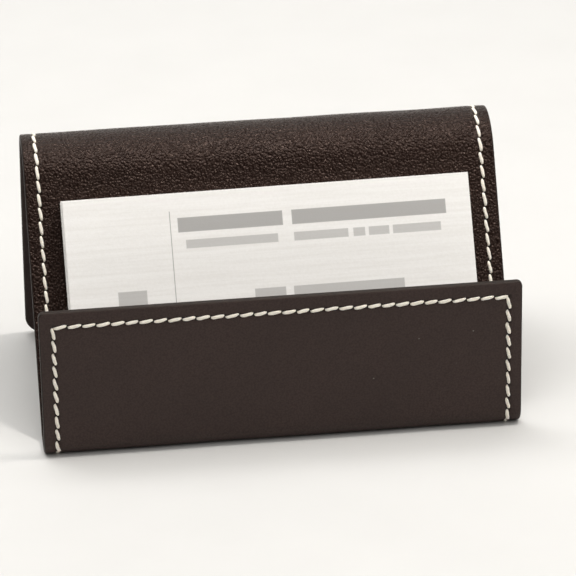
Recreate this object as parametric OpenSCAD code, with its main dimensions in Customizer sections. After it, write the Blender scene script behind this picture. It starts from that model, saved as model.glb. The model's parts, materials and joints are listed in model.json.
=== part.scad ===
// Business card case that stands open as a desk holder.
// One strip of leather and lining makes the pocket front, the floor, the back
// and the flap. It is drawn by its cross-section in the YZ plane, walked from
// the top edge of the pocket front, down, under the cards, up the back, over
// the fold and down the flap to the table. s is the length along that walk and
// d the offset from the strip's middle: below zero on the leather side, above
// zero on the lining side.

/* [Case] */
// Width of the case
case_w = 103.6; // [98:0.1:106]
// Lean of the back from upright, degrees
back_lean = 27; // [24:1:30]
// Forward lean of the pocket front, degrees
front_lean = 3; // [1:1:5]
// Straight height of the pocket front
front_len = 30.6; // [28:0.1:33]
// Straight height of the back
back_len = 53.5; // [52:0.1:56]
// Flat floor between the two bottom bends
floor_len = 4.0; // [3.8:0.1:5]
// Outer radius of the front bottom bend
front_bend_r = 4.2; // [4:0.1:5]
// Outer radius of the back bottom bend
back_bend_r = 3.2; // [3.2:0.1:3.6]

/* [Top fold] */
// Radius of the fold where it leaves the back
fold_r1 = 10.2; // [9.5:0.1:11]
// Radius of the fold where it meets the flap
fold_r2 = 7.2; // [6.8:0.1:8]
// Turn of the second part of the fold, degrees
fold_turn2 = 66; // [62:1:70]
// Straight run at each end of the fold
fold_lead = 1.5; // [1:0.1:2]
// Bow of the flap over its length, degrees
flap_bow = 9.5; // [6:0.5:12]

/* [Layers] */
// Thickness of the outer leather
leather_t = 0.95; // [0.9:0.05:1]
// Thickness of the lining
lining_t = 0.8; // [0.8:0.05:0.9]
// Thickness of the stiffener boards
board_t = 0.3; // [0.2:0.05:0.3]
// Margin of leather and lining round each board
board_margin = 6; // [5.5:0.5:8]
// Corner radius of the flap
flap_corner_r = 4.5; // [3:0.5:6]
// Corner radius of the pocket front
front_corner_r = 1.2; // [0.8:0.1:2]

/* [Stitching] */
// Distance of the stitch line from the edge
seam_inset = 3.0; // [2.6:0.1:3.4]
// Width of the stitch groove
groove_w = 1.0; // [0.8:0.1:1.2]
// Depth of the stitch groove
groove_depth = 0.35; // [0.3:0.05:0.4]
// Width of the thread
thread_w = 0.8; // [0.6:0.05:0.8]
// Height of the thread in its groove
thread_h = 0.3; // [0.2:0.05:0.3]

/* [Closure] */
// Diameter of the magnets and of their steel keepers
disc_d = 8; // [6:0.5:9]
// Thickness of a magnet
magnet_t = 1.0; // [0.8:0.1:1]
// Thickness of a keeper
keeper_t = 0.6; // [0.5:0.1:0.8]
// Distance of each disc from the middle of the case
disc_x = 32; // [20:1:36]
// Distance of the magnets from the flap's edge
magnet_inset = 11; // [9:0.5:14]
// Distance of the keepers from the pocket front's top edge
keeper_drop = 23; // [18:0.5:26]

/* [Cards] */
// Card length
card_w = 88.9; // [85:0.1:89]
// Card height
card_h = 50; // [48:0.1:51]
// Card thickness
card_t = 0.32; // [0.3:0.01:0.32]
// Spacing from card to card
card_pitch = 0.35; // [0.33:0.01:0.35]
// Cards in the stack, with the front one
card_count = 13; // [5:1:13]
// Skew of the stack in the pocket, degrees
card_skew = 0.41; // [0:0.01:0.5]
// Lean of the stack past the back, its feet forward on the floor, degrees
card_tilt = 0.6; // [0.3:0.1:0.6]
// Sideways place of the stack
card_x = 0.57; // [-1:0.05:1]

/* [Hidden] */

leather_colour = [0.23, 0.20, 0.19];
lining_colour = [0.21, 0.17, 0.15];
thread_colour = [0.94, 0.90, 0.84];
board_colour = [0.55, 0.48, 0.38];
steel_colour = [0.72, 0.72, 0.74];
card_colour = [0.94, 0.93, 0.91];

strip_t = leather_t + lining_t;
d_out = -strip_t / 2;           // leather face
d_in = strip_t / 2;             // lining face
d_mid = d_out + leather_t;      // where leather and lining meet
board_d0 = d_mid - board_t / 2;
board_d1 = d_mid + board_t / 2;
deg = 180 / PI;

front_rm = front_bend_r - strip_t / 2;
back_rm = back_bend_r - strip_t / 2;
back_dir = 90 - back_lean;

// Each stretch of the walk: [length, turn in degrees, facets]
L_front_bend = front_rm * (90 - front_lean) / deg;
L_back_bend = back_rm * back_dir / deg;
L_fold1 = fold_r1 * back_dir / deg;
L_fold2 = fold_r2 * fold_turn2 / deg;

// start of the walk: the floor lies at z = 0, the front bend starts it
bend_y = front_bend_r;
foot_of_front = [bend_y - front_rm * cos(front_lean), front_bend_r - front_rm * sin(front_lean)];
walk_start = foot_of_front + front_len * [-sin(front_lean), cos(front_lean)];

function step(p, a, len, turn) = abs(turn) < 1e-9
    ? [p[0] + len * cos(a), p[1] + len * sin(a), a]
    : let(r = len * deg / turn)
      [p[0] + r * (sin(a + turn) - sin(a)), p[1] - r * (cos(a + turn) - cos(a)), a + turn];

SEG0 = [[front_len, 0, 1], [L_front_bend, 90 - front_lean, 10], [floor_len, 0, 1],
    [L_back_bend, back_dir, 8], [back_len, 0, 1], [fold_lead, 0, 1],
    [L_fold1, -back_dir, 8], [L_fold2, -fold_turn2, 9], [fold_lead, 0, 1]];
function pose(i, segs) = i == 0 ? [walk_start[0], walk_start[1], -90 + front_lean]
    : let(q = pose(i - 1, segs)) step(q, q[2], segs[i - 1][0], segs[i - 1][1]);
flap_start = pose(9, SEG0);
flap_dir = flap_start[2];
// the flap is as long as it takes for its edge to stand on the table
flap_len = (flap_start[1] - strip_t / 2 * cos(flap_dir - flap_bow))
    / (2 * deg / flap_bow * sin(flap_bow / 2) * -sin(flap_dir - flap_bow / 2));
SEGS = concat(SEG0, [[flap_len, -flap_bow, 6]]);
POSES = [for (i = [0:10]) pose(i, SEGS)];
function seg_s(i) = i == 0 ? 0 : seg_s(i - 1) + SEGS[i - 1][0];

s_front_end = seg_s(1);
s_floor0 = seg_s(2);
s_floor1 = seg_s(3);
s_back0 = seg_s(4);
s_fold0 = seg_s(5);
s_fold1 = seg_s(9);
s_end = seg_s(10);

// nodes of the walk: [s, y, z, direction]
GRID = concat([for (i = [0:9]) for (k = [0:SEGS[i][2] - 1])
        let(f = k / SEGS[i][2], q = step(POSES[i], POSES[i][2], SEGS[i][0] * f, SEGS[i][1] * f))
        [seg_s(i) + SEGS[i][0] * f, q[0], q[1], q[2]]],
    [[s_end, POSES[10][0], POSES[10][1], POSES[10][2]]]);
NG = len(GRID);
// the whole object is shifted so that its box is centred over the origin
y_low = GRID[0][1] - d_out * sin(GRID[0][3]);
y_high = GRID[NG - 1][1] - d_in * sin(GRID[NG - 1][3]);
y_shift = -(y_low + y_high) / 2;

function off(g, d) = [g[1] - d * sin(g[3]) + y_shift, g[2] + d * cos(g[3])];
function cell(s, i = 0) = i >= NG - 2 || s < GRID[i + 1][0] ? i : cell(s, i + 1);
function at(s, d) = let(i = cell(s), f = (s - GRID[i][0]) / (GRID[i + 1][0] - GRID[i][0]))
    off(GRID[i], d) * (1 - f) + off(GRID[i + 1], d) * f;
function dir_at(s) = let(i = cell(s), f = (s - GRID[i][0]) / (GRID[i + 1][0] - GRID[i][0]))
    GRID[i][3] * (1 - f) + GRID[i + 1][3] * f;
function stations(s0, s1) = concat([s0], [for (g = GRID) if (g[0] > s0 + 1e-6 && g[0] < s1 - 1e-6) g[0]], [s1]);

// a slab of the strip from s0 to s1 and d0 to d1
module band(s0, s1, d0, d1, w) {
    st = stations(s0, s1);
    n = len(st);
    rotate([90, 0, 90]) linear_extrude(w, center = true)
        polygon(concat([for (s = st) at(s, d0)], [for (i = [n - 1:-1:0]) at(st[i], d1)]));
}
module band_at(x, s0, s1, d0, d1, w) translate([x, 0, 0]) band(s0, s1, d0, d1, w);

// local axes at s: X across, Y along the walk, Z towards the lining side
module at_station(s) translate([0, at(s, 0)[0], at(s, 0)[1]]) rotate([dir_at(s), 0, 0]) children();

// removes the two corners at one end of the strip; way is 1 at the far end, -1 at the near end
module corner_cuts(s, way, r)
    at_station(s) for (m = [0, 1]) mirror([m, 0, 0])
        linear_extrude(8, center = true) difference() {
            translate([case_w / 2 - r, way > 0 ? -r : -1]) square([r + 1, r + 1]);
            translate([case_w / 2 - r, -way * r]) circle(r, $fn = 48);
        }

// places of the stitch lines
seam_x = case_w / 2 - seam_inset;

// grooves (or, with a smaller section, the thread) on one face of a stretch
module seam_sides(s0, s1, d0, d1, w) {
    band_at(-seam_x, s0, s1, d0, d1, w);
    band_at(seam_x, s0, s1, d0, d1, w);
}
module seam_end(s, d0, d1, w) band(s - w / 2, s + w / 2, d0, d1, 2 * seam_x + w);

module grooves(s0, s1, leather_side) {
    d0 = leather_side ? d_out - 0.5 : d_in - groove_depth;
    d1 = leather_side ? d_out + groove_depth : d_in + 0.5;
    seam_sides(s0, s1, d0, d1, groove_w);
}
module groove_end(s, leather_side) {
    d0 = leather_side ? d_out - 0.5 : d_in - groove_depth;
    d1 = leather_side ? d_out + groove_depth : d_in + 0.5;
    seam_end(s, d0, d1, groove_w);
}
module threads(s0, s1) {
    seam_sides(s0, s1, d_out + groove_depth - thread_h, d_out + groove_depth, thread_w);
    seam_sides(s0, s1, d_in - groove_depth, d_in - groove_depth + thread_h, thread_w);
}
module thread_end(s) {
    seam_end(s, d_out + groove_depth - thread_h, d_out + groove_depth, thread_w);
    seam_end(s, d_in - groove_depth, d_in - groove_depth + thread_h, thread_w);
}

// hinge lines: the pocket front turns at the front end of the floor, and the top fold turns at four lines
fold_n = 4;
fold_step = (s_fold1 - s_fold0) / fold_n;
hinge_gap = 0.95;
s_pivot = s_floor0 + 0.8;
floor_gap = 0.4;
function fold_line(k) = s_fold0 + (k - 0.5) * fold_step;
function slat0(k) = fold_line(k) + hinge_gap;
function slat1(k) = fold_line(k + 1) - hinge_gap;

s_front_stop = s_pivot - floor_gap;
s_base_go = s_pivot + floor_gap;
s_back_stop = fold_line(1) - hinge_gap;
s_flap_go = fold_line(fold_n) + hinge_gap;
seam_top = seam_inset + 0.4;
seam_low = s_end - seam_inset - 0.2;
turn_gap = thread_w / 2 + 0.05;   // the side seams stop short of the end seam

// discs: each is a set of two
module discs(s, d, h, dia) for (x = [-disc_x, disc_x])
    at_station(s) translate([x, 0, d - h / 2]) cylinder(h = h, d = dia, $fn = 48);
s_keeper = keeper_drop;
s_magnet = s_end - magnet_inset;
disc_d0 = d_mid;
pocket_clear = 0.05;
module keeper_pocket() discs(s_keeper, disc_d0, keeper_t + 2 * pocket_clear, disc_d + 2 * pocket_clear);
module magnet_pocket() discs(s_magnet, disc_d0, magnet_t + 2 * pocket_clear, disc_d + 2 * pocket_clear);

// boards
front_board0 = board_margin;
front_board1 = s_front_end - 1.5;
back_board0 = s_back0 + 1.5;
back_board1 = s_fold0 - 1;
flap_board0 = s_flap_go + 3;
flap_board1 = s_end - board_margin;
board_w = case_w - 2 * board_margin;
module front_board_space() band(front_board0, front_board1, board_d0, board_d1, board_w);
module back_board_space() band(back_board0, back_board1, board_d0, board_d1, board_w);
module flap_board_space() band(flap_board0, flap_board1, board_d0, board_d1, board_w);

module front_leather() color(leather_colour) difference() {
    band(0, s_front_stop, d_out, d_mid, case_w);
    front_board_space();
    keeper_pocket();
    grooves(seam_top, s_front_stop + 1, true);
    groove_end(seam_top, true);
    corner_cuts(0, -1, front_corner_r);
}
module front_lining() color(lining_colour) difference() {
    band(0, s_front_stop, d_mid, d_in, case_w);
    front_board_space();
    keeper_pocket();
    grooves(seam_top, s_front_stop + 1, false);
    groove_end(seam_top, false);
    corner_cuts(0, -1, front_corner_r);
}
module front_board() color(board_colour) difference() {
    front_board_space();
    keeper_pocket();
}
module front_thread() color(thread_colour) {
    threads(seam_top + turn_gap, s_front_stop);
    thread_end(seam_top);
}
module front_keepers() color(steel_colour) discs(s_keeper, disc_d0, keeper_t, disc_d);

module base_leather() color(leather_colour) difference() {
    band(s_base_go, s_back0, d_out, d_mid, case_w);
    grooves(s_base_go - 1, s_back0 + 1, true);
}
module base_lining() color(lining_colour) difference() {
    band(s_base_go, s_back0, d_mid, d_in, case_w);
    grooves(s_base_go - 1, s_back0 + 1, false);
}
module base_thread() color(thread_colour) threads(s_base_go, s_back0);

module back_leather() color(leather_colour) difference() {
    band(s_back0, s_back_stop, d_out, d_mid, case_w);
    back_board_space();
    grooves(s_back0 - 1, s_back_stop + 1, true);
}
module back_lining() color(lining_colour) difference() {
    band(s_back0, s_back_stop, d_mid, d_in, case_w);
    back_board_space();
    grooves(s_back0 - 1, s_back_stop + 1, false);
}
module back_board() color(board_colour) back_board_space();
module back_thread() color(thread_colour) threads(s_back0, s_back_stop);

// one slat of the top fold; the leather between its hinge lines
module fold_leather(k) color(leather_colour) difference() {
    band(slat0(k), slat1(k), d_out, d_mid, case_w);
    grooves(slat0(k) - 0.2, slat1(k) + 0.2, true);
}
module fold_lining(k) color(lining_colour) difference() {
    band(slat0(k), slat1(k), d_mid, d_in, case_w);
    grooves(slat0(k) - 0.2, slat1(k) + 0.2, false);
}
module fold_thread(k) color(thread_colour) threads(slat0(k), slat1(k));

module flap_leather() color(leather_colour) difference() {
    band(s_flap_go, s_end, d_out, d_mid, case_w);
    flap_board_space();
    magnet_pocket();
    grooves(s_flap_go - 0.2, seam_low, true);
    groove_end(seam_low, true);
    corner_cuts(s_end, 1, flap_corner_r);
}
module flap_lining() color(lining_colour) difference() {
    band(s_flap_go, s_end, d_mid, d_in, case_w);
    flap_board_space();
    magnet_pocket();
    grooves(s_flap_go - 0.2, seam_low, false);
    groove_end(seam_low, false);
    corner_cuts(s_end, 1, flap_corner_r);
}
module flap_board() color(board_colour) difference() {
    flap_board_space();
    magnet_pocket();
}
module flap_thread() color(thread_colour) {
    threads(s_flap_go, seam_low - turn_gap);
    thread_end(seam_low);
}
module flap_magnets() color(steel_colour) discs(s_magnet, disc_d0, magnet_t, disc_d);

// cards stand in the corner of the floor and the back
card_n0 = d_in + 0.25 + card_h * sin(card_tilt);
card_a0 = -0.75;
front_card_gap = 0.18;
module one_card(n) at_station(s_back0 + 0.001)
    translate([card_x, card_a0, n]) rotate([-card_tilt, 0, 0]) rotate([0, 0, card_skew])
        translate([-card_w / 2, 0, 0]) cube([card_w, card_h, card_t]);
module front_card() color(card_colour) one_card(card_n0 + (card_count - 2) * card_pitch + card_t + front_card_gap);
module card_stack() color(card_colour) for (i = [0:card_count - 2]) one_card(card_n0 + i * card_pitch);

front_leather();
front_lining();
front_board();
front_thread();
front_keepers();
base_leather();
base_lining();
base_thread();
back_leather();
back_lining();
back_board();
back_thread();
fold_leather(1);  // fold_leather_1
fold_leather(2);  // fold_leather_2
fold_leather(3);  // fold_leather_3
fold_lining(1);  // fold_lining_1
fold_lining(2);  // fold_lining_2
fold_lining(3);  // fold_lining_3
fold_thread(1);  // fold_thread_1
fold_thread(2);  // fold_thread_2
fold_thread(3);  // fold_thread_3
flap_leather();
flap_lining();
flap_board();
flap_thread();
flap_magnets();
front_card();
card_stack();
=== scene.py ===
import json
import math

import bpy
import numpy as np
from mathutils import Matrix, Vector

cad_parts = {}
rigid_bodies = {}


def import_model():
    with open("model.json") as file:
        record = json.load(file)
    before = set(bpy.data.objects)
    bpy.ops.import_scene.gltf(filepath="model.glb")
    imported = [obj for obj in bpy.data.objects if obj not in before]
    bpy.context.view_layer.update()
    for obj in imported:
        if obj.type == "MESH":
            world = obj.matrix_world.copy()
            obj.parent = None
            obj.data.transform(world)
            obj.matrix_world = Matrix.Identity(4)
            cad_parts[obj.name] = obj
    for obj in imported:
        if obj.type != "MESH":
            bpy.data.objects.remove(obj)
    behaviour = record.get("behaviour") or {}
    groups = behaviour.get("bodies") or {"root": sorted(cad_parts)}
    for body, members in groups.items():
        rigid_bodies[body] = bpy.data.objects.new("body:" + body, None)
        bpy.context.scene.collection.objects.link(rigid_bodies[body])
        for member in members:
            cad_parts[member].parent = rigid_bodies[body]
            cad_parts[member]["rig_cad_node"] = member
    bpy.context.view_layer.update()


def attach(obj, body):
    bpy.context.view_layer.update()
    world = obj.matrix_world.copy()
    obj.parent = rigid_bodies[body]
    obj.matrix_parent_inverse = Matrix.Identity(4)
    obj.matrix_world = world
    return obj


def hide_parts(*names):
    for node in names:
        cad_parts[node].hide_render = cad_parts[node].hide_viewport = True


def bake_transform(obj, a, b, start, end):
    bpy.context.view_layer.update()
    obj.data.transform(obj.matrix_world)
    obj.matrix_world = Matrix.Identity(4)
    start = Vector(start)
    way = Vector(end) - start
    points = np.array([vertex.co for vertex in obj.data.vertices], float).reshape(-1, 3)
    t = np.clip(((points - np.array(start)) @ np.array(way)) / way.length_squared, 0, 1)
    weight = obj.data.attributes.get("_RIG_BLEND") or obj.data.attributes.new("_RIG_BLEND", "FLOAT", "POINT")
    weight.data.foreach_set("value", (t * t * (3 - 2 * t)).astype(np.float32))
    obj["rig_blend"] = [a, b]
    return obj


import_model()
rng = np.random.default_rng(7)

# ---------------------------------------------------------------- the strip
# The same cross-section as the CAD: s is the length along the strip from the
# pocket front's top edge to the flap's edge, d the offset from its middle
# (below zero on the leather side, above zero on the lining side), in mm.
W = 103.6
T = 1.75
D_MID = -T / 2 + 0.95
SEAM_X = W / 2 - 3.0
FRONT_LEAN, BACK_LEAN = 3.0, 27.0
DEG = 180 / math.pi
RF, RB = 4.2 - T / 2, 3.2 - T / 2
SEG = [
    (30.6, 0.0),
    (RF * (90 - FRONT_LEAN) / DEG, 90 - FRONT_LEAN),
    (4.0, 0.0),
    (RB * (90 - BACK_LEAN) / DEG, 90 - BACK_LEAN),
    (53.5, 0.0),
    (1.5, 0.0),
    (10.2 * (90 - BACK_LEAN) / DEG, -(90 - BACK_LEAN)),
    (7.2 * 66.0 / DEG, -66.0),
    (1.5, 0.0),
]
BOW = 9.5


def walk(q, length, turn):
    y, z, a = q
    if abs(turn) < 1e-9:
        return (y + length * math.cos(math.radians(a)), z + length * math.sin(math.radians(a)), a)
    r = length * DEG / turn
    b = a + turn
    return (
        y + r * (math.sin(math.radians(b)) - math.sin(math.radians(a))),
        z - r * (math.cos(math.radians(b)) - math.cos(math.radians(a))),
        b,
    )


fl = math.radians(FRONT_LEAN)
start = (
    4.2 - RF * math.cos(fl) - SEG[0][0] * math.sin(fl),
    4.2 - RF * math.sin(fl) + SEG[0][0] * math.cos(fl),
    -90 + FRONT_LEAN,
)
poses = [start]
for ln, tn in SEG:
    poses.append(walk(poses[-1], ln, tn))
flap_a = poses[-1][2]
flap_len = (poses[-1][1] - T / 2 * math.cos(math.radians(flap_a - BOW))) / (
    2 * DEG / BOW * math.sin(math.radians(BOW / 2)) * -math.sin(math.radians(flap_a - BOW / 2))
)
SEG.append((flap_len, -BOW))
poses.append(walk(poses[-1], flap_len, -BOW))
CUM = np.concatenate([[0.0], np.cumsum([g[0] for g in SEG])])
S_END = CUM[10]
y_low = poses[0][0] + T / 2 * math.sin(math.radians(poses[0][2]))
y_high = poses[10][0] - T / 2 * math.sin(math.radians(poses[10][2]))
Y_SHIFT = -(y_low + y_high) / 2
POSES = np.array(poses)
LEN = np.array([g[0] for g in SEG])
TURN = np.radians([g[1] for g in SEG])


def middle(s):
    """(y, z, direction) of the strip's middle at s, each an array."""
    s = np.asarray(s, float)
    i = np.clip(np.searchsorted(CUM, s, side="right") - 1, 0, 9)
    u = s - CUM[i]
    a0 = np.radians(POSES[i, 2])
    k = TURN[i] / LEN[i]
    a = a0 + k * u
    flat = np.abs(k) < 1e-9
    kk = np.where(flat, 1.0, k)
    y = POSES[i, 0] + np.where(flat, u * np.cos(a0), (np.sin(a) - np.sin(a0)) / kk)
    z = POSES[i, 1] + np.where(flat, u * np.sin(a0), -(np.cos(a) - np.cos(a0)) / kk)
    return y + Y_SHIFT, z, a


def place(x, s, d):
    """Points in metres in the row frame of strip coordinates in mm."""
    y, z, a = middle(s)
    return np.stack([x, y - d * np.sin(a), z + d * np.cos(a)], -1) * 0.001


S_BACK0, S_FOLD0, S_FOLD1 = CUM[4], CUM[5], CUM[9]
FOLD_STEP = (S_FOLD1 - S_FOLD0) / 4
S_PIVOT = CUM[2] + 0.8
S_BEND0, S_BEND1 = S_PIVOT - 2.4, S_PIVOT + 2.4
SEAM_TOP, SEAM_LOW = 3.4, S_END - 3.2
R_TOP, R_LOW = 1.2, 4.5
R_EDGE = 0.42

# ---------------------------------------------------------------- stitch places
PITCH = 3.03


def spaced(a, b):
    n = max(1, round((b - a) / PITCH))
    return np.linspace(a, b, n + 1)


HOLES_S = spaced(SEAM_TOP, SEAM_LOW)
HOLES_X = spaced(-SEAM_X, SEAM_X)
HOLES_S[1:-1] += rng.normal(0, 0.07, len(HOLES_S) - 2)
HOLES_X[1:-1] += rng.normal(0, 0.07, len(HOLES_X) - 2)


def nearest(v, places):
    i = np.clip(np.searchsorted(places, v), 1, len(places) - 1)
    return np.minimum(np.abs(v - places[i - 1]), np.abs(v - places[i]))


def waves(x, s, seed, size):
    """A smooth random field of about unit height, with features of about size mm."""
    g = np.random.default_rng(seed)
    out = np.zeros(np.broadcast(x, s).shape)
    for _ in range(9):
        a = g.uniform(0, 2 * math.pi)
        f = 2 * math.pi / (size * g.uniform(0.7, 1.6))
        out = out + np.sin(f * (x * math.cos(a) + s * math.sin(a)) + g.uniform(0, 6.28))
    return out / 3.0


def seam(x, s):
    """(how deep the groove is, how much of a hole is here), each 0 to 1."""
    ax = np.abs(x)
    inside = (s > SEAM_TOP - 2) & (s < SEAM_LOW + 2)
    to_side = np.hypot(ax - SEAM_X, np.maximum(np.maximum(SEAM_TOP - s, s - SEAM_LOW), 0))
    over = np.maximum(ax - SEAM_X, 0)
    to_top = np.hypot(s - SEAM_TOP, over)
    to_low = np.hypot(s - SEAM_LOW, over)
    line = np.minimum(np.minimum(to_side, to_top), to_low)
    groove = np.exp(-((line / 0.62) ** 2)) * inside
    hole_side = np.hypot(ax - SEAM_X, nearest(s, HOLES_S))
    hole_top = np.hypot(s - SEAM_TOP, nearest(x, HOLES_X))
    hole_low = np.hypot(s - SEAM_LOW, nearest(x, HOLES_X))
    hole = np.minimum(np.minimum(hole_side, hole_top), hole_low)
    return groove, np.exp(-((hole / 0.42) ** 2)) * inside


def half_width(s):
    r = np.where(s < S_END / 2, R_TOP, R_LOW)
    e = np.minimum(s, S_END - s)
    cut = np.where(e < r, r - np.sqrt(np.maximum(r * r - (r - np.minimum(e, r)) ** 2, 0)), 0.0)
    return W / 2 - cut


def rim(x, s):
    """Distance in from the strip's outline."""
    r = np.where(s < S_END / 2, R_TOP, R_LOW)
    e = np.minimum(s, S_END - s)
    ax = W / 2 - np.abs(x)
    corner = (e < r) & (ax < r)
    return np.maximum(np.where(corner, r - np.hypot(r - e, r - ax), np.minimum(e, ax)), 0.0)


def face_height(x, s, side):
    """How far the face stands from the strip's middle, side being -1 for leather and 1 for lining."""
    p = rim(x, s)
    q = np.clip(p, 0, R_EDGE)
    h = T / 2 - R_EDGE + np.sqrt(np.maximum(R_EDGE**2 - (R_EDGE - q) ** 2, 0))
    groove, hole = seam(x, s)
    soft = np.clip((p - 0.3) / 3.0, 0, 1)
    h = h - 0.12 * groove - 0.30 * hole + 0.035 * waves(x, s, 11 + side, 24.0) * soft
    # the margin outside the seam is pressed a little thinner than the panel inside it
    h = h - 0.05 * np.exp(-((p / 1.6) ** 2))
    return h


# ---------------------------------------------------------------- meshes
def build(name, verts, faces_q, faces_t, attrs, mats, mat_q=None, mat_t=None, normals=None, smooth=True):
    """A mesh from vertex, quad and triangle arrays."""
    nv, nq, nt = len(verts), len(faces_q), len(faces_t)
    m = bpy.data.meshes.new(name)
    m.vertices.add(nv)
    m.vertices.foreach_set("co", np.asarray(verts, np.float32).ravel())
    loops = np.concatenate([np.asarray(faces_q, np.int32).reshape(-1), np.asarray(faces_t, np.int32).reshape(-1)])
    m.loops.add(len(loops))
    m.loops.foreach_set("vertex_index", loops)
    starts = np.concatenate([np.arange(nq) * 4, nq * 4 + np.arange(nt) * 3]).astype(np.int32)
    m.polygons.add(nq + nt)
    m.polygons.foreach_set("loop_start", starts)
    m.polygons.foreach_set("use_smooth", np.full(nq + nt, smooth))
    index = np.zeros(nq + nt, np.int32)
    if mat_q is not None:
        index[:nq] = mat_q
    if mat_t is not None:
        index[nq:] = mat_t
    for k in mats:
        m.materials.append(k)
    m.polygons.foreach_set("material_index", index)
    for key, kind, value in attrs:
        a = m.attributes.new(key, kind, "POINT")
        a.data.foreach_set("vector" if kind == "FLOAT_VECTOR" else "value", np.asarray(value, np.float32).ravel())
    m.update(calc_edges=True)
    m.validate()
    if normals is not None:
        m.normals_split_custom_set_from_vertices(np.asarray(normals, float))
    o = bpy.data.objects.new(name, m)
    bpy.context.scene.collection.objects.link(o)
    return o


def columns(fine):
    """Offsets in from the left edge, to the middle."""
    edge = np.array([0, 0.03, 0.08, 0.15, 0.24, 0.34, 0.46, 0.65, 0.95, 1.3, 1.6])
    band = np.arange(1.8, 4.25, 0.14)
    rest = np.arange(4.5, W / 2, 0.28 if fine else 1.1)
    half = np.concatenate([edge, band, rest])
    half = half[half < W / 2 - 0.1]
    return np.concatenate([half, [W / 2]])


def rows(s0, s1, ends):
    n = max(2, int(math.ceil((s1 - s0) / 0.25)))
    r = np.linspace(s0, s1, n + 1)
    near = np.array([0, 0.015, 0.05, 0.11, 0.19, 0.29, 0.4, 0.55, 0.75, 1.0, 1.3, 1.6, 1.9])
    if ends < 0:
        r = np.concatenate([s0 + near, np.linspace(s0 + 2.05, s1, int((s1 - s0 - 2.05) / 0.25) + 2)])
    if ends > 0:
        r = np.concatenate([np.linspace(s0, s1 - 2.05, int((s1 - s0 - 2.05) / 0.25) + 2), (s1 - near)[::-1]])
    return r


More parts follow.
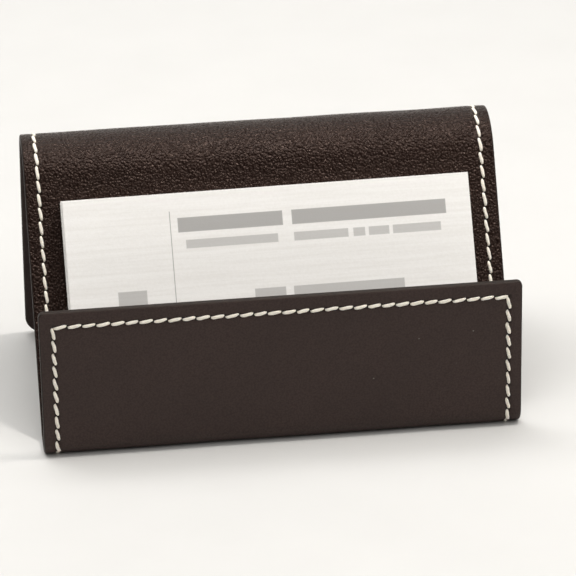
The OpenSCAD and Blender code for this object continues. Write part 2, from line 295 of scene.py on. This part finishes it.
def layer(name, s0, s1, side, mats, ends=0, fine=False):
    """One layer of the strip between s0 and s1: its face, its edge and a plain inner face, closed."""
    half = columns(fine)
    rr = rows(s0, s1, ends)
    hw = half_width(rr)
    u = half / (W / 2)
    out = half[half < 6.0]
    left = np.empty((len(rr), len(half)))
    for j, t in enumerate(half):
        left[:, j] = -hw + t if t < 6.0 else -(hw - 6.0) * (W / 2 - t) / (W / 2 - 6.0)
    x = np.concatenate([left, -left[:, -2::-1]], axis=1)
    nr, nc = x.shape
    s = np.repeat(rr[:, None], nc, 1)
    h = face_height(x, s, side)
    co = place(x, s, side * h)
    # normals from the same surface, a row past each cut, so neighbouring pieces shade as one
    e = 0.02
    sa, sb = np.clip(s - e, 0, S_END), np.clip(s + e, 0, S_END)
    ps = place(x, sb, side * face_height(x, sb, side)) - place(x, sa, side * face_height(x, sa, side))
    xa, xb = x - e, x + e
    px = place(xb, s, side * face_height(xb, s, side)) - place(xa, s, side * face_height(xa, s, side))
    n = np.cross(px, ps) * side
    n /= np.maximum(np.linalg.norm(n, axis=-1, keepdims=True), 1e-12)
    groove, hole = seam(x, s)
    rimv = rim(x, s)
    normal = n.reshape(-1, 3).copy()
    normal[(rimv < 0.40).ravel()] = 0.0
    verts = [co.reshape(-1, 3)]
    strip = [np.stack([x, s, side * h], -1).reshape(-1, 3)]
    marks = [np.stack([groove, hole, np.clip(1 - rimv / 0.5, 0, 1)], -1).reshape(-1, 3)]
    grid = np.arange(nr * nc).reshape(nr, nc)
    quads = [np.stack([grid[:-1, :-1], grid[:-1, 1:], grid[1:, 1:], grid[1:, :-1]], -1).reshape(-1, 4)]
    # the outline, all the way round, with its own short wall down to the middle of the strip
    loop = np.concatenate([grid[0, :], grid[1:, -1], grid[-1, -2::-1], grid[-2:0:-1, 0]])
    lx, ls, lh = x.ravel()[loop], s.ravel()[loop], h.ravel()[loop]
    on_rim = rimv.ravel()[loop] < 1e-6
    count = nr * nc
    wall_rows = [loop]
    d_face = side * lh
    for f, tuck in ((0.45, -0.012), (0.85, 0.0), (1.0, 0.04)):
        d = d_face + (D_MID - d_face) * f
        tx = np.where(on_rim & (np.abs(lx) > half_width(ls) - 1e-6), np.sign(lx) * tuck, 0.0)
        verts.append(place(lx - tx, ls, d))
        strip.append(np.stack([lx - tx, ls, d], -1))
        marks.append(np.stack([np.zeros(len(loop)), np.zeros(len(loop)), on_rim.astype(float)], -1))
        wall_rows.append(np.arange(len(loop)) + count)
        count += len(loop)
    for a, b in zip(wall_rows[:-1], wall_rows[1:]):
        a2, b2 = np.roll(a, -1), np.roll(b, -1)
        quads.append(np.stack([a, b, b2, a2], -1))
    # plain inner face: a coarse grid whose own outline the wall is sewn to
    ci = np.unique(np.concatenate([np.linspace(0, nc - 1, 25).round().astype(int)]))
    ri = np.unique(np.concatenate([np.linspace(0, nr - 1, max(3, nr // 6)).round().astype(int)]))
    cx, cs = x[np.ix_(ri, ci)], s[np.ix_(ri, ci)]
    inner = np.arange(len(ri) * len(ci)).reshape(len(ri), len(ci)) + count
    inset = 0.04
    cxi = cx * (1 - inset / (W / 2))
    verts.append(place(cxi, cs, np.full(cx.shape, D_MID)).reshape(-1, 3))
    strip.append(np.stack([cxi, cs, np.full(cx.shape, D_MID)], -1).reshape(-1, 3))
    marks.append(np.zeros((cx.size, 3)))
    quads.append(np.stack([inner[:-1, :-1], inner[1:, :-1], inner[1:, 1:], inner[:-1, 1:]], -1).reshape(-1, 4))
    cloop = np.concatenate([inner[0, :], inner[1:, -1], inner[-1, -2::-1], inner[-2:0:-1, 0]])
    pos = np.concatenate([ci, (nc - 1) + ri[1:], (nc - 1) + (nr - 1) + (nc - 1 - ci[-2::-1]), 2 * (nc - 1) + (nr - 1) + (nr - 1 - ri[-2:0:-1])])
    last = wall_rows[-1]
    tris = []
    total = len(loop)
    k = 0
    for i in range(total):
        j = (i + 1) % total
        tris.append((last[i], cloop[k], last[j]))
        nxt = pos[k + 1] if k + 1 < len(pos) else total
        if i + 1 >= nxt and k < len(cloop):
            tris.append((last[j], cloop[k], cloop[(k + 1) % len(cloop)]))
            k = (k + 1) % len(cloop)
    quads = np.concatenate(quads)
    tris = np.array(tris, np.int32)
    if side > 0:
        quads, tris = quads[:, ::-1], tris[:, ::-1]
    # winding: leather faces look outwards along -d, lining faces along +d
    quads, tris = quads[:, ::-1], tris[:, ::-1]
    verts = np.concatenate(verts)
    marks = np.concatenate(marks)
    edge_q = marks[quads, 2].mean(1) > 0.55
    normals = np.zeros((len(verts), 3))
    normals[: nr * nc] = normal
    return build(
        name,
        verts,
        quads,
        tris,
        [("strip", "FLOAT_VECTOR", np.concatenate(strip)), ("marks", "FLOAT_VECTOR", marks)],
        mats,
        mat_q=edge_q.astype(np.int32),
        normals=normals,
    )


def stitches(name, items, mat):
    """Stitches given as (x0, s0, x1, s1, side): each a plied thread that rises out of one hole and goes down the next."""
    na, nl = 14, 15
    t = np.linspace(0, 1, nl)
    phi = np.linspace(0, 2 * math.pi, na, endpoint=False)
    V, F, S = [], [], []
    count = 0
    for x0, s0, x1, s1, side in items:
        length = math.hypot(x1 - x0, s1 - s0)
        ax, as_ = (x1 - x0) / length, (s1 - s0) / length
        bx, bs = -as_, ax
        wob = rng.normal(0, 0.035)
        fat = 1 + rng.normal(0, 0.04)
        turn = rng.uniform(0, 2 * math.pi)
        # rise and width along the stitch
        up = -0.30 + (0.34 if side < 0 else 0.22) * (1 - np.abs(2 * t - 1) ** 5)
        wide = 0.37 * fat * (1 - 0.42 * np.abs(2 * t - 1) ** 3.2)
        high = 0.29 * (1 - 0.25 * np.abs(2 * t - 1) ** 3)
        ply = 1 + 0.075 * np.cos(3 * phi[None, :] - 2 * math.pi * 1.6 * t[:, None] * side + turn)
        along = (t[:, None] - 0.5) * length + 0 * phi[None, :]
        across = wide[:, None] * np.cos(phi)[None, :] * ply + wob * np.sin(math.pi * t)[:, None]
        rise = up[:, None] + high[:, None] * np.sin(phi)[None, :] * ply
        x = (x0 + x1) / 2 + along * ax + across * bx
        s = np.clip((s0 + s1) / 2 + along * as_ + across * bs, 0.01, S_END - 0.01)
        d = side * (T / 2 - 0.06 + rise)
        ring = place(x, s, d).reshape(-1, 3)
        cap0 = place(np.array([x[0].mean()]), np.array([s[0].mean()]), np.array([d[0].mean()]))
        cap1 = place(np.array([x[-1].mean()]), np.array([s[-1].mean()]), np.array([d[-1].mean()]))
        V += [ring, cap0, cap1]
        S += [np.stack([along + 40 * rng.random(), across, rise], -1).reshape(-1, 3), np.zeros((2, 3))]
        g = np.arange(nl * na).reshape(nl, na) + count
        g2 = np.roll(g, -1, 1)
        q = np.stack([g[:-1], g[1:], g2[1:], g2[:-1]], -1).reshape(-1, 4)
        c0, c1 = count + nl * na, count + nl * na + 1
        t0 = np.stack([np.full(na, c0), g[0], g2[0]], -1)
        t1 = np.stack([np.full(na, c1), g2[-1], g[-1]], -1)
        if side < 0:
            q, t0, t1 = q[:, ::-1], t0[:, ::-1], t1[:, ::-1]
        F.append((q, t0, t1))
        count += nl * na + 2
    quads = np.concatenate([f[0] for f in F])
    tris = np.concatenate([np.concatenate([f[1], f[2]]) for f in F])
    return build(name, np.concatenate(V), quads, tris, [("thread", "FLOAT_VECTOR", np.concatenate(S))], [mat])


# ---------------------------------------------------------------- materials
def material(name):
    m = bpy.data.materials.new(name)
    m.use_nodes = True
    nt = m.node_tree
    nt.nodes.clear()
    out = nt.nodes.new("ShaderNodeOutputMaterial")
    b = nt.nodes.new("ShaderNodeBsdfPrincipled")
    nt.links.new(b.outputs[0], out.inputs[0])
    return m, nt, b


def node(nt, kind, **values):
    n = nt.nodes.new(kind)
    for k, v in values.items():
        if hasattr(n, k):
            setattr(n, k, v)
        else:
            n.inputs[k].default_value = v
    return n


def attribute(nt, name):
    return node(nt, "ShaderNodeAttribute", attribute_name=name).outputs["Vector"]


def math_node(nt, op, a, b=None, clamp=False):
    n = nt.nodes.new("ShaderNodeMath")
    n.operation = op
    n.use_clamp = clamp
    for i, v in enumerate((a, b)):
        if v is None:
            continue
        if isinstance(v, (int, float)):
            n.inputs[i].default_value = v
        else:
            nt.links.new(v, n.inputs[i])
    return n.outputs[0]


def ramp(nt, fac, *stops):
    n = nt.nodes.new("ShaderNodeValToRGB")
    e = n.color_ramp.elements
    while len(e) < len(stops):
        e.new(0.5)
    for i, (p, c) in enumerate(stops):
        e[i].position = p
        e[i].color = (*c, 1) if isinstance(c, tuple) else (c, c, c, 1)
    nt.links.new(fac, n.inputs[0])
    return n.outputs[0]


def mix(nt, fac, a, b):
    n = nt.nodes.new("ShaderNodeMix")
    n.data_type = "RGBA"
    for i, v in ((0, fac), (6, a), (7, b)):
        if isinstance(v, tuple):
            n.inputs[i].default_value = (*v, 1)
        elif isinstance(v, (int, float)):
            n.inputs[i].default_value = v
        else:
            nt.links.new(v, n.inputs[i])
    return n.outputs[2]


def noise(nt, vec, scale, detail=2.0, rough=0.5, distort=0.0):
    n = node(nt, "ShaderNodeTexNoise")
    n.inputs["Scale"].default_value = scale
    n.inputs["Detail"].default_value = detail
    n.inputs["Roughness"].default_value = rough
    n.inputs["Distortion"].default_value = distort
    nt.links.new(vec, n.inputs["Vector"])
    return n.outputs[0]


def voronoi(nt, vec, scale, feature="F1", rand=1.0, smooth=None):
    n = node(nt, "ShaderNodeTexVoronoi")
    n.feature = feature
    n.inputs["Scale"].default_value = scale
    n.inputs["Randomness"].default_value = rand
    if smooth is not None:
        n.inputs["Smoothness"].default_value = smooth
    nt.links.new(vec, n.inputs["Vector"])
    return n.outputs["Distance"]


def bump(nt, b, height, distance, strength=1.0, under=None):
    n = nt.nodes.new("ShaderNodeBump")
    n.inputs["Distance"].default_value = distance
    n.inputs["Strength"].default_value = strength
    nt.links.new(height, n.inputs["Height"])
    if under is not None:
        nt.links.new(under, n.inputs["Normal"])
    if b is not None:
        nt.links.new(n.outputs[0], b.inputs["Normal"])
    return n.outputs[0]


def leather_material(name, dark, light, rough, grain_size, grain_depth, fine_depth, shine, tint, sheen):
    m, nt, b = material(name)
    v = attribute(nt, "strip")
    marks = nt.nodes.new("ShaderNodeSeparateXYZ")
    nt.links.new(attribute(nt, "marks"), marks.inputs[0])
    wide = noise(nt, v, 0.055, 3.0, 0.55)
    fleck = noise(nt, v, 1.7, 3.0, 0.6)
    tone = math_node(nt, "ADD", math_node(nt, "MULTIPLY", wide, 0.7), math_node(nt, "MULTIPLY", fleck, 0.3))
    colour = ramp(nt, tone, (0.35, dark), (0.65, light))
    # grain: rounded pebbles with dark valleys
    warp = node(nt, "ShaderNodeTexNoise")
    warp.inputs["Scale"].default_value = 0.9
    nt.links.new(v, warp.inputs["Vector"])
    add = nt.nodes.new("ShaderNodeVectorMath")
    add.operation = "MULTIPLY_ADD"
    nt.links.new(warp.outputs["Color"], add.inputs[0])
    add.inputs[1].default_value = (0.5, 0.5, 0.5)
    nt.links.new(v, add.inputs[2])
    cell = voronoi(nt, add.outputs[0], 1.0 / grain_size, "SMOOTH_F1", 1.0, 0.35)
    pebble = math_node(nt, "SUBTRACT", 1.0, math_node(nt, "MULTIPLY", cell, 1.15), clamp=True)
    valley = ramp(nt, pebble, (0.18, 0.0), (0.62, 1.0))
    colour = mix(nt, math_node(nt, "MULTIPLY", math_node(nt, "SUBTRACT", 1.0, valley), 0.35), colour, tuple(c * 0.45 for c in dark))
    # painted shade: the seam groove is painted darker, and each hole darker still, near black, as the shade inside
    # these recesses
    colour = mix(nt, math_node(nt, "MULTIPLY", marks.outputs[0], 0.45), colour, tuple(c * 0.5 for c in dark))
    colour = mix(nt, math_node(nt, "MULTIPLY", marks.outputs[1], 0.85), colour, (0.004, 0.003, 0.0025))
    # specks of dust
    dots = voronoi(nt, v, 0.16, "F1", 1.0)
    speck = ramp(nt, dots, (0.018, 1.0), (0.034, 0.0))
    colour = mix(nt, math_node(nt, "MULTIPLY", speck, 0.28), colour, (0.42, 0.40, 0.37))
    nt.links.new(colour, b.inputs["Base Color"])
    fine = noise(nt, v, 5.5, 3.0, 0.62)
    r = math_node(nt, "ADD", rough - 0.09, math_node(nt, "MULTIPLY", math_node(nt, "ADD", wide, math_node(nt, "SUBTRACT", 1.0, pebble)), 0.13))
    nt.links.new(r, b.inputs["Roughness"])
    first = bump(nt, None, pebble, grain_depth * 0.001)
    second = bump(nt, None, noise(nt, v, 0.35, 2.0, 0.5), 0.00018, 1.0, first)
    bump(nt, b, fine, fine_depth * 0.001, 1.0, second)
    b.inputs["Specular IOR Level"].default_value = shine
    b.inputs["Specular Tint"].default_value = (*tint, 1)
    b.inputs["Sheen Weight"].default_value = sheen
    b.inputs["Sheen Roughness"].default_value = 0.3
    b.inputs["Sheen Tint"].default_value = (0.85, 0.58, 0.42, 1)
    return m


def edge_material():
    m, nt, b = material("edge_paint")
    v = attribute(nt, "strip")
    n = noise(nt, v, 0.8, 3.0, 0.6)
    colour = ramp(nt, n, (0.3, (0.010, 0.007, 0.006)), (0.7, (0.020, 0.014, 0.011)))
    nt.links.new(colour, b.inputs["Base Color"])
    nt.links.new(math_node(nt, "ADD", 0.36, math_node(nt, "MULTIPLY", n, 0.2)), b.inputs["Roughness"])
    bump(nt, b, noise(nt, v, 2.6, 3.0, 0.6), 0.00005)
    b.inputs["Specular IOR Level"].default_value = 0.22
    b.inputs["Specular Tint"].default_value = (1.0, 0.85, 0.78, 1)
    return m


def thread_material():
    m, nt, b = material("waxed_thread")
    v = attribute(nt, "thread")
    stretch = nt.nodes.new("ShaderNodeMapping")
    stretch.inputs["Scale"].default_value = (0.5, 3.0, 3.0)
    nt.links.new(v, stretch.inputs["Vector"])
    n = noise(nt, stretch.outputs[0], 3.0, 3.0, 0.6)
    colour = ramp(nt, n, (0.3, (0.82, 0.75, 0.63)), (0.7, (0.95, 0.91, 0.83)))
    nt.links.new(colour, b.inputs["Base Color"])
    b.inputs["Roughness"].default_value = 0.6
    b.inputs["Sheen Weight"].default_value = 0.25
    b.inputs["Subsurface Weight"].default_value = 0.1
    b.inputs["Subsurface Radius"].default_value = (0.0004, 0.0003, 0.0002)
    bump(nt, b, n, 0.00006)
    return m


mat_leather = leather_material("smooth_leather", (0.0345, 0.0212, 0.0186), (0.0425, 0.0264, 0.0232), 0.56, 0.42, 0.012, 0.012, 0.30, (1.0, 0.92, 0.88), 0.03)
mat_lining = leather_material("pebble_leather", (0.0062, 0.0024, 0.0017), (0.0092, 0.0037, 0.0026), 0.21, 0.50, 0.225, 0.008, 0.26, (1.0, 0.72, 0.61), 0.16)
mat_edge = edge_material()
mat_thread = thread_material()

# ---------------------------------------------------------------- the case
FOLD = [S_FOLD0 + FOLD_STEP * k for k in range(5)]
BODIES = ["case_back", "fold_1", "fold_2", "fold_3", "flap"]

stretches = [("pocket", 0.0, S_BEND0, "pocket_front", -1, True), ("floor", S_BEND0, S_BEND1, None, 0, False),
             ("back", S_BEND1, S_FOLD0, "case_back", 0, False)]
for k in range(4):
    stretches.append((f"fold{k + 1}", FOLD[k], FOLD[k + 1], None, 0, False))
stretches.append(("flap", S_FOLD1, S_END, "flap", 1, True))

REPLACES = {
    "pocket": {"leather": ["front_leather"], "lining": ["front_lining"], "thread": ["front_thread"]},
    "floor": {"leather": ["base_leather"], "lining": ["base_lining"], "thread": ["base_thread"]},
    "back": {"leather": ["back_leather"], "lining": ["back_lining"], "thread": ["back_thread"]},
    "flap": {"leather": ["flap_leather"], "lining": ["flap_lining"], "thread": ["flap_thread"]},
}
for k in range(1, 4):
    REPLACES[f"fold{k}"] = {"leather": [f"fold_leather_{k}"], "lining": [f"fold_lining_{k}"], "thread": [f"fold_thread_{k}"]}

# every stitch of both seams: down each side on both faces, and across both ends
all_stitches = []
for side in (-1, 1):
    for x in (-SEAM_X, SEAM_X):
        for a, b in zip(HOLES_S[:-1], HOLES_S[1:]):
            g = 0.13
            off = -side * (0.46 if side > 0 else 0.62) * rng.normal(1, 0.14)
            jx = rng.normal(0, 0.03)
            all_stitches.append((x - off / 2 + jx, a + g, x + off / 2 + jx, b - g, side))
    for s in (SEAM_TOP, SEAM_LOW):
        for a, b in zip(HOLES_X[:-1], HOLES_X[1:]):
            g = 0.12
            off = side * 0.50 * rng.normal(1, 0.14)
            js = rng.normal(0, 0.03)
            all_stitches.append((a + g, s - off / 2 + js, b - g, s + off / 2 + js, side))


def weights(obj, attr, s0, s1, values):
    """Overwrites blend's weights with ones that follow the strip's own length, so that neighbouring pieces meet exactly."""
    t = np.clip((values - s0) / (s1 - s0), 0, 1)
    w = t * t * (3 - 2 * t)
    obj.data.attributes["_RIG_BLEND"].data.foreach_set("value", w.astype(np.float32))


def strip_s(obj):
    """The strip length at each vertex, found again from its own place."""
    a = obj.data.attributes.get("strip")
    v = np.zeros(len(obj.data.vertices) * 3, np.float32)
    a.data.foreach_get("vector", v)
    return v.reshape(-1, 3)[:, 1].astype(float)


def join(obj, tag, s0, s1, body, along):
    if body:
        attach(obj, body)
        return
    if tag == "floor":
        a, b = "pocket_front", "case_back"
    else:
        k = int(tag[4:])
        a, b = BODIES[k - 1], BODIES[k]
    p0, p1 = place(np.array([0.0]), np.array([s0]), np.array([0.0]))[0], place(np.array([0.0]), np.array([s1]), np.array([0.0]))[0]
    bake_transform(obj, a, b, tuple(p0), tuple(p1))
    weights(obj, "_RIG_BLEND", s0, s1, along)


for tag, s0, s1, body, ends, fine in stretches:
    for what, side, mat in (("leather", -1, mat_leather), ("lining", 1, mat_lining)):
        o = layer(f"{tag}_{what}_skin", s0, s1, side, [mat, mat_edge], ends, fine)
        join(o, tag, s0, s1, body, strip_s(o))
        if tag in REPLACES:
            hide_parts(*REPLACES[tag][what])
    mine = [q for q in all_stitches if s0 <= (q[1] + q[3]) / 2 < s1]
    if mine:
        o = stitches(f"{tag}_stitches", mine, mat_thread)
        n = 14 * 15 + 2
        nv = len(o.data.vertices)
        t = np.concatenate([np.linspace(0, 1, 15).repeat(14), [0, 1]])
        along = np.concatenate([q[1] + (q[3] - q[1]) * t for q in mine])
        join(o, tag, s0, s1, body, along)
        if tag in REPLACES:
            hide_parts(*REPLACES[tag]["thread"])

# ---------------------------------------------------------------- cards
CARD_W, CARD_H, CARD_T = 88.9, 50.0, 0.32
CARD_PITCH, CARD_COUNT, CARD_GAP = 0.35, 13, 0.18
CARD_X, CARD_A0, SKEW, TILT = 0.57, -0.75, math.radians(0.41), math.radians(0.6)
CARD_N0 = T / 2 + 0.25 + CARD_H * math.sin(TILT)


def card_frame():
    y, z, a = middle(np.array([S_BACK0 + 0.001]))
    a = float(a[0])
    X = np.array([1.0, 0, 0])
    U = np.array([0, math.cos(a), math.sin(a)])
    N = np.array([0, -math.sin(a), math.cos(a)])
    O = np.array([CARD_X, float(y[0]), float(z[0])]) + U * CARD_A0
    U2, N2 = U * math.cos(TILT) - N * math.sin(TILT), N * math.cos(TILT) + U * math.sin(TILT)
    X3 = X * math.cos(SKEW) + U2 * math.sin(SKEW)
    U3 = U2 * math.cos(SKEW) - X * math.sin(SKEW)
    return O, X3, U3, N2, N


CO, CX, CU, CN, CN0 = card_frame()


def card(n_off, dx, du, twist, bow):
    """A card as a rounded thin sheet: vertices in mm, quads, and its own coordinates."""
    nx, nu = 30, 18
    edge = 0.05
    px = np.concatenate([[0, edge], np.linspace(0, CARD_W, nx + 1)[1:-1], [CARD_W - edge, CARD_W]])
    pu = np.concatenate([[0, edge], np.linspace(0, CARD_H, nu + 1)[1:-1], [CARD_H - edge, CARD_H]])
    gx, gu = np.meshgrid(px - CARD_W / 2, pu, indexing="xy")
    border = np.ones_like(gx)
    border[0, :] = border[-1, :] = 0
    border[:, 0] = border[:, -1] = 0
    hh = CARD_T / 2 - (1 - border) * 0.035
    lift = bow * (1 - (2 * gx / CARD_W) ** 2) * (gu / CARD_H)
    verts, own = [], []
    c, s = math.cos(twist), math.sin(twist)
    for sg in (-1, 1):
        n = n_off + CARD_T / 2 + sg * hh + lift
        X = gx * c - gu * s + dx
        U = gx * s + gu * c + du
        verts.append((CO + CN0 * 0 + X[..., None] * CX + U[..., None] * CU + n[..., None] * CN).reshape(-1, 3))
        own.append(np.stack([gx, gu, np.full(gx.shape, sg * 0.16)], -1).reshape(-1, 3))
    r, k = gx.shape
    g = np.arange(r * k).reshape(r, k)
    h = g + r * k
    q = [np.stack([g[:-1, :-1], g[1:, :-1], g[1:, 1:], g[:-1, 1:]], -1).reshape(-1, 4),
         np.stack([h[:-1, :-1], h[:-1, 1:], h[1:, 1:], h[1:, :-1]], -1).reshape(-1, 4)]
    loop = np.concatenate([g[0, :], g[1:, -1], g[-1, -2::-1], g[-2:0:-1, 0]])
    l2, h1, h2 = np.roll(loop, -1), loop + r * k, np.roll(loop, -1) + r * k
    q.append(np.stack([loop, l2, h2, h1], -1))
    return np.concatenate(verts), np.concatenate(q), np.concatenate(own)


def card_material(name, printed):
    m, nt, b = material(name)
    v = attribute(nt, "card")
    n = noise(nt, v, 1.6, 4.0, 0.6)
    band = nt.nodes.new("ShaderNodeMapping")
    band.inputs["Scale"].default_value = (0.035, 1.15, 1.0)
    nt.links.new(v, band.inputs["Vector"])
    fibre = noise(nt, band.outputs[0], 1.0, 4.0, 0.62)
    n = math_node(nt, "ADD", math_node(nt, "MULTIPLY", n, 0.35), math_node(nt, "MULTIPLY", fibre, 0.65))
    colour = ramp(nt, n, (0.40, (0.845, 0.828, 0.800)), (0.60, (0.905, 0.892, 0.870)))
    if printed:
        sep = nt.nodes.new("ShaderNodeSeparateXYZ")
        nt.links.new(v, sep.inputs[0])
        px, pu, pn = sep.outputs

        def bar(x0, x1, u0, u1, soft=0.12):
            hx = math_node(nt, "SUBTRACT", (x1 - x0) / 2, math_node(nt, "ABSOLUTE", math_node(nt, "SUBTRACT", px, (x0 + x1) / 2)))
            hu = math_node(nt, "SUBTRACT", (u1 - u0) / 2, math_node(nt, "ABSOLUTE", math_node(nt, "SUBTRACT", pu, (u0 + u1) / 2)))
            e = math_node(nt, "MINIMUM", hx, hu)
            return math_node(nt, "DIVIDE", e, soft, clamp=True)

        def total(parts):
            t = parts[0]
            for p in parts[1:]:
                t = math_node(nt, "MAXIMUM", t, p)
            return t

        rule = bar(-21.6, -21.35, 20.0, 46.1, 0.08)
        head = total([bar(-19.9, 3.1, 41.3, 44.6), bar(5.0, 39.0, 41.3, 44.6)])
        sub = total([bar(a0, a1, 37.7, 39.7) for a0, a1 in ((-18.4, 1.8), (5.2, 17.2), (18.2, 20.9), (21.6, 26.2), (26.9, 37.6))])
        low = total([bar(-4.3, 2.6, 24.6, 28.0), bar(4.2, 28.6, 24.6, 28.0)])
        front = math_node(nt, "GREATER_THAN", pn, 0.1)
        ink = math_node(nt, "MULTIPLY", total([math_node(nt, "MULTIPLY", rule, 0.65), math_node(nt, "MULTIPLY", head, 0.62), math_node(nt, "MULTIPLY", sub, 0.42), math_node(nt, "MULTIPLY", low, 0.45)]), front)
        ink = math_node(nt, "MULTIPLY", ink, math_node(nt, "ADD", 0.86, math_node(nt, "MULTIPLY", n, 0.2)))
        colour = mix(nt, ink, colour, (0.105, 0.100, 0.098))
        # a plain square, partly behind the pocket front
        square = math_node(nt, "MULTIPLY", bar(-34.0, -27.6, 22.0, 29.4, 0.15), front)
        colour = mix(nt, math_node(nt, "MULTIPLY", square, 0.6), colour, (0.32, 0.31, 0.30))
    nt.links.new(colour, b.inputs["Base Color"])
    b.inputs["Roughness"].default_value = 0.48
    bump(nt, b, noise(nt, v, 2.5, 3.0, 0.6), 0.00002)
    return m


mat_card = card_material("card_stock", False)
mat_front = card_material("printed_card", True)

V, Q, S = [], [], []
count = 0
for i in range(CARD_COUNT - 1):
    lo = 0.05 if i else 0.02
    v, q, s = card(CARD_N0 + i * CARD_PITCH + rng.uniform(-0.008, 0.008), rng.normal(-0.10, 0.05), abs(rng.normal(0, 0.04)), rng.normal(0, 0.0005), 0.0)
    V.append(v), Q.append(q + count), S.append(s + [0, 0, i * 3.1])
    count += len(v)
stack = build("cards_behind_stack", np.concatenate(V) * 0.001, np.concatenate(Q), np.zeros((0, 3), int), [("card", "FLOAT_VECTOR", np.concatenate(S))], [mat_card], smooth=False)
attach(stack, "cards_behind")
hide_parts("card_stack")
v, q, s = card(CARD_N0 + (CARD_COUNT - 2) * CARD_PITCH + CARD_T + CARD_GAP, 0.12, 0.0, 0.0, 0.0)
front = build("card_in_front_printed", v * 0.001, q, np.zeros((0, 3), int), [("card", "FLOAT_VECTOR", s)], [mat_front], smooth=False)
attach(front, "card_in_front")
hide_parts("front_card")

# ---------------------------------------------------------------- sealed inner parts keep their CAD meshes


def plain(name, colour, rough, metal, scale):
    m, nt, b = material(name)
    tex = nt.nodes.new("ShaderNodeTexCoord")
    n = noise(nt, tex.outputs["Object"], scale, 3.0, 0.6)
    c = ramp(nt, n, (0.3, tuple(x * 0.85 for x in colour)), (0.7, colour))
    nt.links.new(c, b.inputs["Base Color"])
    b.inputs["Roughness"].default_value = rough
    b.inputs["Metallic"].default_value = metal
    bump(nt, b, n, 0.00005)
    return m


mat_board = plain("fibre_board", (0.30, 0.23, 0.15), 0.8, 0.0, 900)
mat_steel = plain("disc_steel", (0.55, 0.55, 0.56), 0.35, 1.0, 600)
for o in bpy.data.objects:
    nodename = o.get("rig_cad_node")
    if nodename in ("front_board", "back_board", "flap_board", "front_keepers", "flap_magnets"):
        o.data.materials.clear()
        o.data.materials.append(mat_board if "board" in nodename else mat_steel)

# ---------------------------------------------------------------- studio


def backdrop():
    m, nt, b = material("paper_sweep")
    tex = nt.nodes.new("ShaderNodeTexCoord")
    n = noise(nt, tex.outputs["Object"], 40.0, 3.0, 0.5)
    c = ramp(nt, n, (0.3, (0.622, 0.618, 0.606)), (0.7, (0.636, 0.632, 0.620)))
    nt.links.new(c, b.inputs["Base Color"])
    b.inputs["Roughness"].default_value = 0.75
    b.inputs["Specular IOR Level"].default_value = 0.25
    # floor that sweeps up behind the object
    prof = [(-1.6, 0.0), (0.45, 0.0)]
    for i in range(1, 17):
        a = math.radians(90 * i / 16)
        prof.append((0.45 + 0.35 * math.sin(a), 0.35 * (1 - math.cos(a))))
    prof.append((0.8, 1.6))
    xs = (-1.6, 1.6)
    verts = np.array([(x, y, z) for (y, z) in prof for x in xs])
    q = np.array([(2 * i, 2 * i + 1, 2 * i + 3, 2 * i + 2) for i in range(len(prof) - 1)])
    o = build("sweep", verts, q, np.zeros((0, 3), int), [], [m])


backdrop()


def area(name, loc, target, size, power, colour=(1, 1, 1), size_y=None):
    l = bpy.data.lights.new(name, "AREA")
    l.shape = "RECTANGLE"
    l.size, l.size_y = size, size_y or size
    l.energy = power
    l.color = colour
    o = bpy.data.objects.new(name, l)
    bpy.context.scene.collection.objects.link(o)
    z = (np.array(loc) - np.array(target)).astype(float)
    z /= np.linalg.norm(z)
    x = np.cross([0, 1, 0.001], z)
    x /= np.linalg.norm(x)
    y = np.cross(z, x)
    o.matrix_world = Matrix(((x[0], y[0], z[0], loc[0]), (x[1], y[1], z[1], loc[1]), (x[2], y[2], z[2], loc[2]), (0, 0, 0, 1)))
    return o


area("key_softbox", (0.36, -0.36, 0.76), (0, 0, 0.03), 1.00, 5.4, (1.0, 0.985, 0.96))
area("sparkle_light", (0.26, -0.10, 0.72), (0, 0, 0.03), 0.09, 1.9, (1.0, 0.96, 0.91))
area("top_softbox", (-0.30, 0.10, 0.80), (-0.05, 0, 0), 0.70, 4.8, (1.0, 0.985, 0.96))
area("back_wash", (0.0, 0.25, 0.9), (0.0, 0.75, 0.3), 0.9, 3.0, (1.0, 1.0, 1.0), 0.4)

world = bpy.data.worlds.new("studio")
bpy.context.scene.world = world
world.use_nodes = True
bg = world.node_tree.nodes["Background"]
bg.inputs[0].default_value = (1.0, 0.968, 0.935, 1)
bg.inputs[1].default_value = 0.16
bpy.context.scene.view_settings.view_transform = "Standard"

# ---------------------------------------------------------------- camera
A, E, R = math.radians(6.383), math.radians(22.843), math.radians(-1.403)
DIST, FPX, TX, TZ = 851.578, 3908.054, 3.771, 27.614
f = np.array([math.sin(A) * math.cos(E), math.cos(A) * math.cos(E), -math.sin(E)])
r0 = np.array([math.cos(A), -math.sin(A), 0.0])
u0 = np.cross(r0, f)
right = math.cos(R) * r0 + math.sin(R) * u0
up = -math.sin(R) * r0 + math.cos(R) * u0
pos = (np.array([TX, 20.0 + Y_SHIFT, TZ]) - DIST * f) * 0.001
cam = bpy.data.cameras.new("camera")
cam.sensor_width = 36.0
cam.lens = FPX / 576 * 36.0
cam.clip_start, cam.clip_end = 0.05, 10.0
co = bpy.data.objects.new("camera", cam)
bpy.context.scene.collection.objects.link(co)
co.matrix_world = Matrix(((right[0], up[0], -f[0], pos[0]), (right[1], up[1], -f[1], pos[1]), (right[2], up[2], -f[2], pos[2]), (0, 0, 0, 1)))
bpy.context.scene.camera = co
